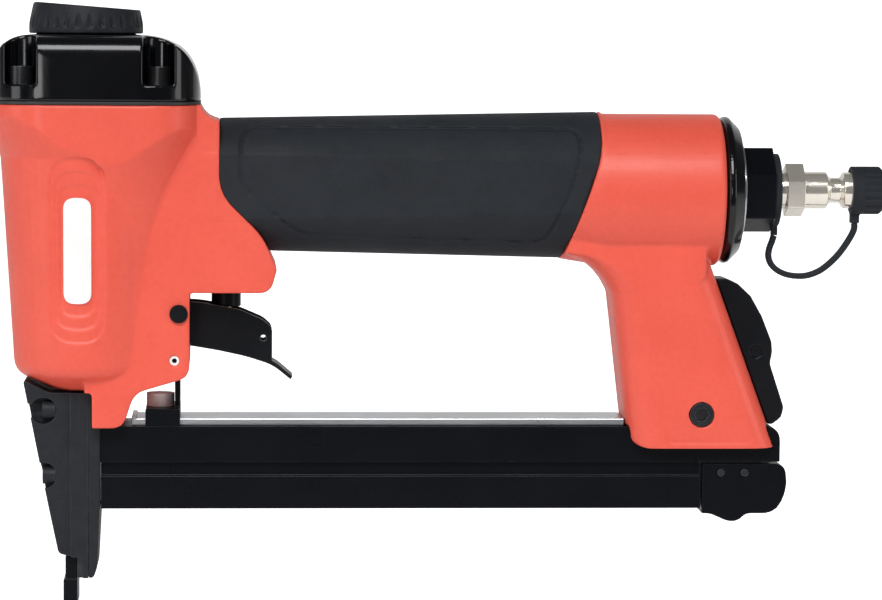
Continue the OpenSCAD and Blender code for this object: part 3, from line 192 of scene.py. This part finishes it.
def worn_and_highlit_edges():
    """Edges scuffed by handling, with painted highlights on some finishes: a mask that is full on a sharp
    edge, broken up by noise.
    """
    tree, given, out = effect("scuffed and highlit edges", {"Reach": 0.0006, "Patchy": 220}, ["Mask"])
    rounded = node(tree, "Bevel", samples=4)
    tree.links.new(given.outputs["Reach"], rounded.inputs["Radius"])
    flat = tree.nodes.new("ShaderNodeNewGeometry").outputs["Normal"]
    agree = node(tree, "VectorMath", operation="DOT_PRODUCT")
    tree.links.new(rounded.outputs["Normal"], agree.inputs[0])
    tree.links.new(flat, agree.inputs[1])
    edge = spread(tree, agree.outputs["Value"], FLAT_AGREES, EDGE_AGREES, 0, 1)
    noise = node(tree, "TexNoise", detail=4.0)
    tree.links.new(place(tree), noise.inputs["Vector"])
    tree.links.new(given.outputs["Patchy"], noise.inputs["Scale"])
    patch = spread(tree, noise.outputs["Fac"], *SCUFF_AND_HIGHLIGHT_TONES, SCUFF_AND_HIGHLIGHT_LEAST, 1)
    tree.links.new(maths(tree, "MULTIPLY", edge, patch), out.inputs["Mask"])
    return tree


def drawn_lines():
    """Fine lines that drawing or grinding leaves along the tool's length, as a height and a tone."""
    tree, given, out = effect("drawn lines", {"Across": 4000, "Along": 60}, ["Height", "Tone"])
    stretch = node(tree, "VectorMath", operation="MULTIPLY")
    sizes = tree.nodes.new("ShaderNodeCombineXYZ")
    tree.links.new(given.outputs["Along"], sizes.inputs["X"])
    for axis in ("Y", "Z"):
        tree.links.new(given.outputs["Across"], sizes.inputs[axis])
    tree.links.new(place(tree), stretch.inputs[0])
    tree.links.new(sizes.outputs["Vector"], stretch.inputs[1])
    noise = node(tree, "TexNoise", scale=1.0, detail=4.0)
    tree.links.new(stretch.outputs["Vector"], noise.inputs["Vector"])
    tree.links.new(noise.outputs["Fac"], out.inputs["Height"])
    tree.links.new(noise.outputs["Fac"], out.inputs["Tone"])
    return tree


def handling():
    """Slow changes of gloss where hands and rags have been, from least to most roughness."""
    tree, given, out = effect("handling", {"Patch": 45, "Least": 0.3, "Most": 0.5}, ["Roughness"])
    noise = node(tree, "TexNoise", detail=5.0, roughness=0.65)
    tree.links.new(place(tree), noise.inputs["Vector"])
    tree.links.new(given.outputs["Patch"], noise.inputs["Scale"])
    least, most = given.outputs["Least"], given.outputs["Most"]
    rough = spread(tree, noise.outputs["Fac"], *GLOSS_TONES, least, most)
    tree.links.new(rough, out.inputs["Roughness"])
    return tree


CAST_SKIN = cast_skin()
WORN_AND_HIGHLIT_EDGES = worn_and_highlit_edges()
DRAWN_LINES = drawn_lines()
HANDLING = handling()

COAT_ROUGHNESS = 0.12


def start_finish(name, metallic=0.0, coat=0.0, shine=0.5):
    """A new material with its Principled shader, whose even values are set on its own sockets."""
    material = bpy.data.materials.new(name)
    material.use_nodes = True
    tree = material.node_tree
    shader = tree.nodes["Principled BSDF"]
    shader.inputs["Metallic"].default_value = metallic
    shader.inputs["Specular IOR Level"].default_value = shine
    shader.inputs["Coat Weight"].default_value = coat
    shader.inputs["Coat Roughness"].default_value = COAT_ROUGHNESS
    return material, tree, shader


def placed_effect(tree, group, **values):
    """A shared effect in a material, with this material's own values."""
    made = tree.nodes.new("ShaderNodeGroup")
    made.node_tree = group
    for name, value in values.items():
        made.inputs[name.replace("_", " ").title()].default_value = value
    return made


def blended(tree, factor, first, second):
    """A colour that goes from first to second with a factor; each is a colour or a socket."""
    made = node(tree, "Mix", data_type="RGBA")
    tree.links.new(factor, made.inputs["Factor"])
    sockets = [s for s in made.inputs if s.type == "RGBA"]
    for socket, colour in zip(sockets, (first, second)):
        feed(tree, socket, (*colour, 1) if isinstance(colour, tuple) else colour)
    return next(s for s in made.outputs if s.type == "RGBA")


def raised(tree, shader, height, depth):
    """Bump of the given depth in metres on a shader."""
    bump = node(tree, "Bump", strength=1.0, distance=depth)
    tree.links.new(height, bump.inputs["Height"])
    tree.links.new(bump.outputs["Normal"], shader.inputs["Normal"])


def skinned(
        name, colour, shade, gloss, grain, swell, depth, rubbed_and_highlight=None, metallic=0.0, coat=0.0, reach=0.6,
        shine=0.5):
    """A cast, moulded or painted finish: mottled colour, skin, handled gloss, and scuffed edges that are
    painted highlights on some finishes.
    """
    material, tree, shader = start_finish(name, metallic, coat, shine)
    skin = placed_effect(tree, CAST_SKIN, grain=grain, swell=swell)
    touched = placed_effect(tree, HANDLING, least=gloss[0], most=gloss[1])
    mottled = blended(tree, spread(tree, skin.outputs["Tone"], *SKIN_TONES, 0, 1), colour, shade)
    # Lighter colour on sharp edges: scuffing, and on the trigger's coat mostly a painted highlight
    if rubbed_and_highlight:
        worn_and_highlit = placed_effect(tree, WORN_AND_HIGHLIT_EDGES, reach=reach * MM)
        mottled = blended(tree, worn_and_highlit.outputs["Mask"], mottled, rubbed_and_highlight)
    tree.links.new(mottled, shader.inputs["Base Color"])
    tree.links.new(touched.outputs["Roughness"], shader.inputs["Roughness"])
    raised(tree, shader, skin.outputs["Height"], depth * MM)
    return material


def lined(name, colour, shade, gloss, along, across, depth, metallic=1.0):
    """A drawn, ground or turned metal: fine lines in its colour, gloss and surface."""
    material, tree, shader = start_finish(name, metallic)
    lines = placed_effect(tree, DRAWN_LINES, along=along, across=across)
    touched = placed_effect(tree, HANDLING, least=gloss[0], most=gloss[1])
    tone = spread(tree, lines.outputs["Tone"], *LINE_TONES, 0, 1)
    tree.links.new(blended(tree, tone, colour, shade), shader.inputs["Base Color"])
    tree.links.new(touched.outputs["Roughness"], shader.inputs["Roughness"])
    raised(tree, shader, lines.outputs["Height"], depth * MM)
    return material


# Colour and shade, least and most roughness, sizes of the detail per metre, and its depth in millimetres
FINISHES = {
    "red_paint": skinned(
        "red paint", (0.80, 0.105, 0.066), (0.74, 0.090, 0.055), (0.40, 0.54), 700, 60, 0.025,
        rubbed_and_highlight=(0.90, 0.22, 0.16), coat=0.1, reach=0.5, shine=0.4),
    "gloss_black": skinned(
        "gloss black paint", (0.0016, 0.0019, 0.0032), (0.0012, 0.0014, 0.0024), (0.12, 0.22), 500, 70,
        0.012, rubbed_and_highlight=(0.030, 0.033, 0.040), coat=0.25, reach=0.3, shine=0.3),
    "black_coat": skinned(
        "black coat", (0.0020, 0.0027, 0.0042), (0.0032, 0.0042, 0.0062), (0.24, 0.38), 1600, 80, 0.006,
        rubbed_and_highlight=(0.03, 0.033, 0.038), reach=0.2, shine=0.1),
    # The trigger's coat: its much lighter edge colour is mostly a painted highlight along the folded edges,
    # with a little scuffing
    "worn_and_highlit_coat": skinned(
        "black coat with scuffed edges and painted edge highlights", (0.0034, 0.0040, 0.0056), (0.0050, 0.0058, 0.0078), (0.26, 0.40),
        1600, 80, 0.006, rubbed_and_highlight=(0.17, 0.175, 0.185), reach=0.45, shine=0.2),
    "nose_cast": skinned(
        "dark nose casting", (0.0145, 0.0170, 0.0215), (0.0090, 0.0105, 0.0135), (0.42, 0.62), 1300, 260,
        0.06, rubbed_and_highlight=(0.06, 0.064, 0.07), reach=0.35, shine=0.25),
    "black_plastic": skinned(
        "moulded black plastic", (0.0034, 0.0040, 0.0058), (0.0050, 0.0058, 0.0080), (0.30, 0.42), 1500,
        90, 0.010, rubbed_and_highlight=(0.014, 0.016, 0.019), reach=0.35, shine=0.2),
    "grip_rubber": skinned(
        "grip rubber", (0.0115, 0.0140, 0.0180), (0.0165, 0.0195, 0.0245), (0.60, 0.78), 1700, 150, 0.05,
        rubbed_and_highlight=(0.034, 0.038, 0.046), reach=0.5, shine=0.25),
    "seal_rubber": skinned(
        "seal rubber", (0.014, 0.014, 0.015), (0.022, 0.022, 0.023), (0.45, 0.6), 1200, 150, 0.01),
    "valve_plastic": skinned(
        "natural nylon", (0.78, 0.75, 0.66), (0.72, 0.68, 0.58), (0.35, 0.5), 900, 120, 0.01),
    "label": skinned(
        "blank label", (0.90, 0.90, 0.89), (0.86, 0.86, 0.85), (0.22, 0.34), 1500, 120, 0.004, coat=0.4),
    "dark_steel": skinned(
        "blackened steel", (0.030, 0.031, 0.034), (0.050, 0.051, 0.055), (0.28, 0.42), 1800, 200, 0.006,
        rubbed_and_highlight=(0.30, 0.30, 0.31), metallic=0.85, reach=0.2),
    "bright_steel": lined(
        "bright drawn steel", (0.56, 0.57, 0.59), (0.44, 0.45, 0.47), (0.26, 0.38), 40, 5200, 0.003),
    "zinc_plate": lined(
        "zinc plate", (0.90, 0.90, 0.89), (0.76, 0.76, 0.76), (0.34, 0.46), 60, 900, 0.006, metallic=0.0),
    "spring_steel": lined(
        "spring wire", (0.55, 0.55, 0.54), (0.40, 0.40, 0.40), (0.28, 0.4), 900, 900, 0.003),
    "chrome": lined(
        "nickel plate", (0.92, 0.88, 0.79), (0.84, 0.79, 0.70), (0.10, 0.20), 6500, 30, 0.003, metallic=0.8),
    "aluminium": lined(
        "machined aluminium", (0.80, 0.81, 0.82), (0.68, 0.69, 0.70), (0.25, 0.38), 60, 60, 0.003),
    "brass": lined(
        "turned brass", (0.76, 0.58, 0.28), (0.64, 0.47, 0.2), (0.2, 0.32), 60, 60, 0.003),
}


# Soft cast and moulded pieces: mesh size in millimetres, smoothing passes and the share of faces kept
CAST_PIECES = {
    "housing": (0.42, 3, 0.28),
    "head_cap": (0.4, 8, 0.5),
    "grip_sleeve": (0.4, 3, 0.5),
    "nose_rear_guide": (0.35, 2, 0.5),
    "exhaust_deflector": (0.3, 2, 0.5),
    "latch_lever": (0.4, 4, 0.5),
    "magazine_tail": (0.3, 2, 0.5),
    "dust_cap": (0.25, 2, 0.5),
    "handle_end_cap": (0.4, 2, 0.5),
}
# Width of the eased edges of machined and bent pieces, in millimetres
EASED_PIECES = {
    "nose_front_plate": 0.4, "nose_tip": 0.25, "guide_strip": 0.1, "nose_screws": 0.2, "fixed_rail": 0.2,
    "top_bar": 0.2, "front_hanger": 0.2, "hanger_screw": 0.15, "magazine_bolt": 0.25, "bolt_nut": 0.25,
    "sliding_magazine": 0.2, "staple_rail": 0.15, "tail_pins": 0.1, "pusher": 0.15, "pusher_rod": 0.1,
    "latch_pin": 0.15, "trigger": 0.12, "trigger_pin": 0.25, "roll_pin": 0.1, "valve_body": 0.2,
    "valve_stem": 0.15, "cap_screws": 0.2, "deflector_screw": 0.2, "inlet_washer": 0.1,
    "inlet_bushing": 0.35, "air_nipple": 0.2, "strap_ring": 0.2, "cylinder_sleeve": 0.2, "piston": 0.2,
    "driver_blade": 0.1, "head_valve": 0.2, "bumper": 0.3, "cap_gasket": 0.1,
}
# Pieces whose finish is not the one of their record slot
OTHER_FINISH = {
    "nose_front_plate": "nose_cast", "nose_rear_guide": "nose_cast", "nose_tip": "black_coat",
    "hanger_screw": "zinc_plate", "roll_pin": "zinc_plate", "exhaust_deflector": "nose_cast",
    # The trigger's coat carries painted edge highlights
    "latch_pin": "black_plastic", "trigger": "worn_and_highlit_coat", "trigger_pin": "black_plastic",
    "guide_strip": "dark_steel", "nose_screws": "nose_cast",
}
# How castings are smoothed, and how sharp edges are found and rounded
SMOOTH_SHARE = 0.5
WELD_REACH = 0.002 * MM
SHARP_ANGLE = math.radians(35)
EDGE_SEGMENTS = 2


def soften(piece, voxel, passes, kept):
    """The soft skin of a casting: an even mesh, smoothed, then thinned where it is flat."""
    remesh = piece.modifiers.new("skin", "REMESH")
    remesh.mode = "VOXEL"
    remesh.voxel_size = voxel * MM
    remesh.use_smooth_shade = True
    smooth = piece.modifiers.new("soft", "SMOOTH")
    smooth.factor = SMOOTH_SHARE
    smooth.iterations = passes
    thin = piece.modifiers.new("thin", "DECIMATE")
    thin.ratio = kept


def ease(piece, width):
    """Small rounds on the sharp edges of a machined or bent piece."""
    weld = piece.modifiers.new("weld", "WELD")
    weld.merge_threshold = WELD_REACH
    bevel = piece.modifiers.new("eased", "BEVEL")
    bevel.limit_method = "ANGLE"
    bevel.angle_limit = SHARP_ANGLE
    bevel.width = width * MM
    bevel.segments = EDGE_SEGMENTS
    bevel.use_clamp_overlap = True
    normals = piece.modifiers.new("normals", "WEIGHTED_NORMAL")
    normals.keep_sharp = True


def dress_nodes():
    """Every solid takes its finish and its edges."""
    slots = {row["node"]: row["material_slot"] for row in frame["record"]["subparts"]}
    for name, piece in nodes.items():
        piece.data.materials.clear()
        piece.data.materials.append(FINISHES[OTHER_FINISH.get(name, slots[name])])
        if name in CAST_PIECES:
            soften(piece, *CAST_PIECES[name])
        elif name in EASED_PIECES:
            ease(piece, EASED_PIECES[name])


def smooth_route(points, steps):
    """A smooth line through the points, with the given number of steps between each two."""
    padded = [2 * points[0] - points[1], *points, 2 * points[-1] - points[-2]]
    line = []
    for a, b, c, d in zip(padded, padded[1:], padded[2:], padded[3:]):
        for i in range(steps):
            t = i / steps
            line.append(
                0.5 * (2 * b + (c - a) * t + (2 * a - 5 * b + 4 * c - d) * t**2
                       + (3 * b - a - 3 * c + d) * t**3))
    return [*line, points[-1]]


def tube_piece(name, rings, finish):
    """A closed piece with its skin through rings of points that turn to the right about the way ahead."""
    sides = len(rings[0])
    corners = [corner for ring in rings for corner in ring]
    faces = [tuple(reversed(range(sides))), tuple(range(len(corners) - sides, len(corners)))]
    for here in range(0, len(corners) - sides, sides):
        for k in range(sides):
            after = (k + 1) % sides
            faces.append((here + k, here + after, here + sides + after, here + sides + k))
    mesh = bpy.data.meshes.new(name)
    mesh.from_pydata(corners, [], faces)
    mesh.shade_smooth()
    mesh.materials.append(FINISHES[finish])
    piece = bpy.data.objects.new(name, mesh)
    bpy.context.scene.collection.objects.link(piece)
    return piece


def directions(sides):
    """Cosine and sine of evenly spread angles, once round."""
    angles = [2 * math.pi * k / sides for k in range(sides)]
    return [(math.cos(angle), math.sin(angle)) for angle in angles]


def squared(share):
    """A cosine or sine pushed outward, so that a circle becomes a band with round edges."""
    return math.copysign(math.sqrt(abs(share)), share)


# Strap from its ring on the inlet to the dust cap, as the solids have it, in millimetres
STRAP_ROUTE = [
    (183.5, 0, 98.2), (183, 0, 96.6), (182.3, 0, 94.6), (182.1, 0, 92.6), (182.8, 0, 90.6),
    (184.5, 0, 88.9), (187.2, 0, 87.7), (190.6, 0, 87.3), (193.4, 0, 87.7), (196.2, 0, 88.9),
    (198.8, 0, 90.9), (201.2, 0, 93.4), (203.2, 0, 96.2), (204.6, 0, 98.6), (205.2, 0, 100.2),
    (205.2, 0, 101.5),
]
STRAP_THICK = 1.6 * MM
STRAP_WIDE = 2.4 * MM
STRAP_STEPS = 4
STRAP_SIDES = 16


def strap():
    """The rubber strap that holds the dust cap: a flat band with round edges along its route."""
    line = smooth_route([Vector(p) * MM for p in STRAP_ROUTE], STRAP_STEPS)
    across = Vector((0, STRAP_WIDE / 2, 0))
    rings = []
    for i, point in enumerate(line):
        ahead = (line[min(i + 1, len(line) - 1)] - line[max(i - 1, 0)]).normalized()
        outward = ahead.cross(across).normalized() * STRAP_THICK / 2
        rings.append([point + across * squared(c) + outward * squared(s) for c, s in directions(STRAP_SIDES)])
    band = tube_piece("cap_strap", rings, "grip_rubber")
    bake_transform(band)
    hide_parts("dust_cap_strap")


# Springs: body, joint that presses them, axis, which end is held, radius of the wire in millimetres, turns,
# and travel of the free end in millimetres
SPRINGS = {
    "head_valve_spring": ("tool", "head_valve_lift", (0, 0, 1), "high", 0.6, 3, 3.05),
    "valve_spring": ("tool", "stem_lift", (0, 0, 1), "high", 0.3, 5, 2.25),
    "pusher_spring": ("magazine", "pusher_slide", (1, 0, 0), "high", 0.35, 16, 105.1),
    "latch_spring": ("tool", "latch_swing", (1, 0, 0), "low", 0.3, 4, 2.0),
}
SPRING_STEPS = 32
SPRING_SIDES = 12


def spring(name, body, joint, axis, held, wire, turns, travel):
    """A wound spring in the place of its solid, carried by its body."""
    low, high = (Vector(corner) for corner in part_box(name))
    along = Vector(axis)
    side = Vector((0, 1, 0))
    other = along.cross(side)
    wire_r = wire * MM
    long = (high - low).dot(along)
    radius = (high - low).y / 2 - wire_r
    start = (low + high) / 2 - along * (long / 2 - wire_r)
    steps = turns * SPRING_STEPS
    rise = along * (long - 2 * wire_r) / steps
    step_long = 2 * math.pi * radius / SPRING_STEPS
    turn = directions(SPRING_STEPS)
    rings = []
    for i in range(steps + 1):
        cos, sin = turn[i % SPRING_STEPS]
        outward = side * cos + other * sin
        ahead = ((other * cos - side * sin) * step_long + rise).normalized()
        upward = ahead.cross(outward)
        middle = start + rise * i + outward * radius
        rings.append([middle + (outward * c + upward * s) * wire_r for c, s in directions(SPRING_SIDES)])
    coil = tube_piece(name + "_coil", rings, "spring_steel")
    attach(coil, body)
    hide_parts(name)
    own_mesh(coil)


# Light that the paper and the surroundings throw on the tool; the camera sees both as white
PAPER_COLOUR = (0.9, 0.9, 0.9, 1)
PAPER_GLOW = 0.3
SKY_GLOW = 0.1
WHITE = (1, 1, 1, 1)


def white_studio_finish():
    """Backdrop paper, which comes out white but throws less light on the tool."""
    material, tree, shader = start_finish("backdrop paper", shine=0.0)
    shader.inputs["Base Color"].default_value = PAPER_COLOUR
    shader.inputs["Roughness"].default_value = 1
    shader.inputs["Emission Color"].default_value = WHITE
    seen = tree.nodes.new("ShaderNodeLightPath").outputs["Is Camera Ray"]
    tree.links.new(spread(tree, seen, 0, 1, PAPER_GLOW, 1), shader.inputs["Emission Strength"])
    return material


# Backdrop paper: its sizes in metres, and the steps of its curve
BACKDROP_UNDER = 0.5 * MM
BACKDROP_HALF = 2.5
BACKDROP_FRONT = 0.3
BACKDROP_BACK = 2.0
BACKDROP_ROUND = 0.6
BACKDROP_HIGH = 2.6
BACKDROP_STEPS = 12


def backdrop():
    """White paper that runs from the floor up behind the tool in one sweep."""
    floor = cad_box[0][2] - BACKDROP_UNDER
    profile = [(-BACKDROP_FRONT, floor)]
    for i in range(BACKDROP_STEPS + 1):
        turn = math.radians(90) * i / BACKDROP_STEPS
        profile.append((
            BACKDROP_BACK - BACKDROP_ROUND + BACKDROP_ROUND * math.sin(turn),
            floor + BACKDROP_ROUND * (1 - math.cos(turn))))
    profile.append((BACKDROP_BACK, floor + BACKDROP_HIGH))
    corners = [(x, y, z) for y, z in profile for x in (-BACKDROP_HALF, BACKDROP_HALF)]
    faces = [(2 * i, 2 * i + 1, 2 * i + 3, 2 * i + 2) for i in range(len(profile) - 1)]
    mesh = bpy.data.meshes.new("backdrop")
    mesh.from_pydata(corners, [], faces)
    mesh.shade_smooth()
    paper = bpy.data.objects.new("backdrop", mesh)
    bpy.context.scene.collection.objects.link(paper)
    mesh.materials.append(white_studio_finish())


# Soft lights: place and size in metres, and power in watts
LIGHTS = {
    "front": ((-0.1, -1.2, 1.15), (1.0, 0.6), 20.2),
    "left": ((-1.1, -0.6, 0.3), (0.5, 0.8), 3.5),
    "right": ((1.3, -0.7, 0.3), (0.5, 0.8), 3.5),
    "low": ((-0.4, -1.3, 0.12), (0.3, 0.2), 1.2),
}


def softbox(name, stand, size, power):
    """A soft light on its stand, turned towards the tool's middle."""
    middle = (cad_box[0] + cad_box[1]) / 2
    data = bpy.data.lights.new(name, "AREA")
    data.shape = "RECTANGLE"
    data.size, data.size_y = size
    data.energy = power
    light = bpy.data.objects.new(name, data)
    light.location = stand
    light.rotation_euler = (Vector(middle) - Vector(stand)).to_track_quat("-Z", "Y").to_euler()
    bpy.context.scene.collection.objects.link(light)


def studio():
    """Paper, a large soft light above the camera, one on each side, a low one, and a little all round."""
    backdrop()
    for name, row in LIGHTS.items():
        softbox(name, *row)
    world = bpy.data.worlds.new("studio")
    world.use_nodes = True
    sky = world.node_tree.nodes["Background"].inputs
    sky["Color"].default_value = WHITE
    seen = world.node_tree.nodes.new("ShaderNodeLightPath").outputs["Is Camera Ray"]
    world.node_tree.links.new(spread(world.node_tree, seen, 0, 1, SKY_GLOW, 1), sky["Strength"])
    bpy.context.scene.world = world
    bpy.context.scene.view_settings.view_transform = "Standard"


set_camera()
strap()
dress_nodes()
for name, row in SPRINGS.items():
    spring(name, *row)
studio()
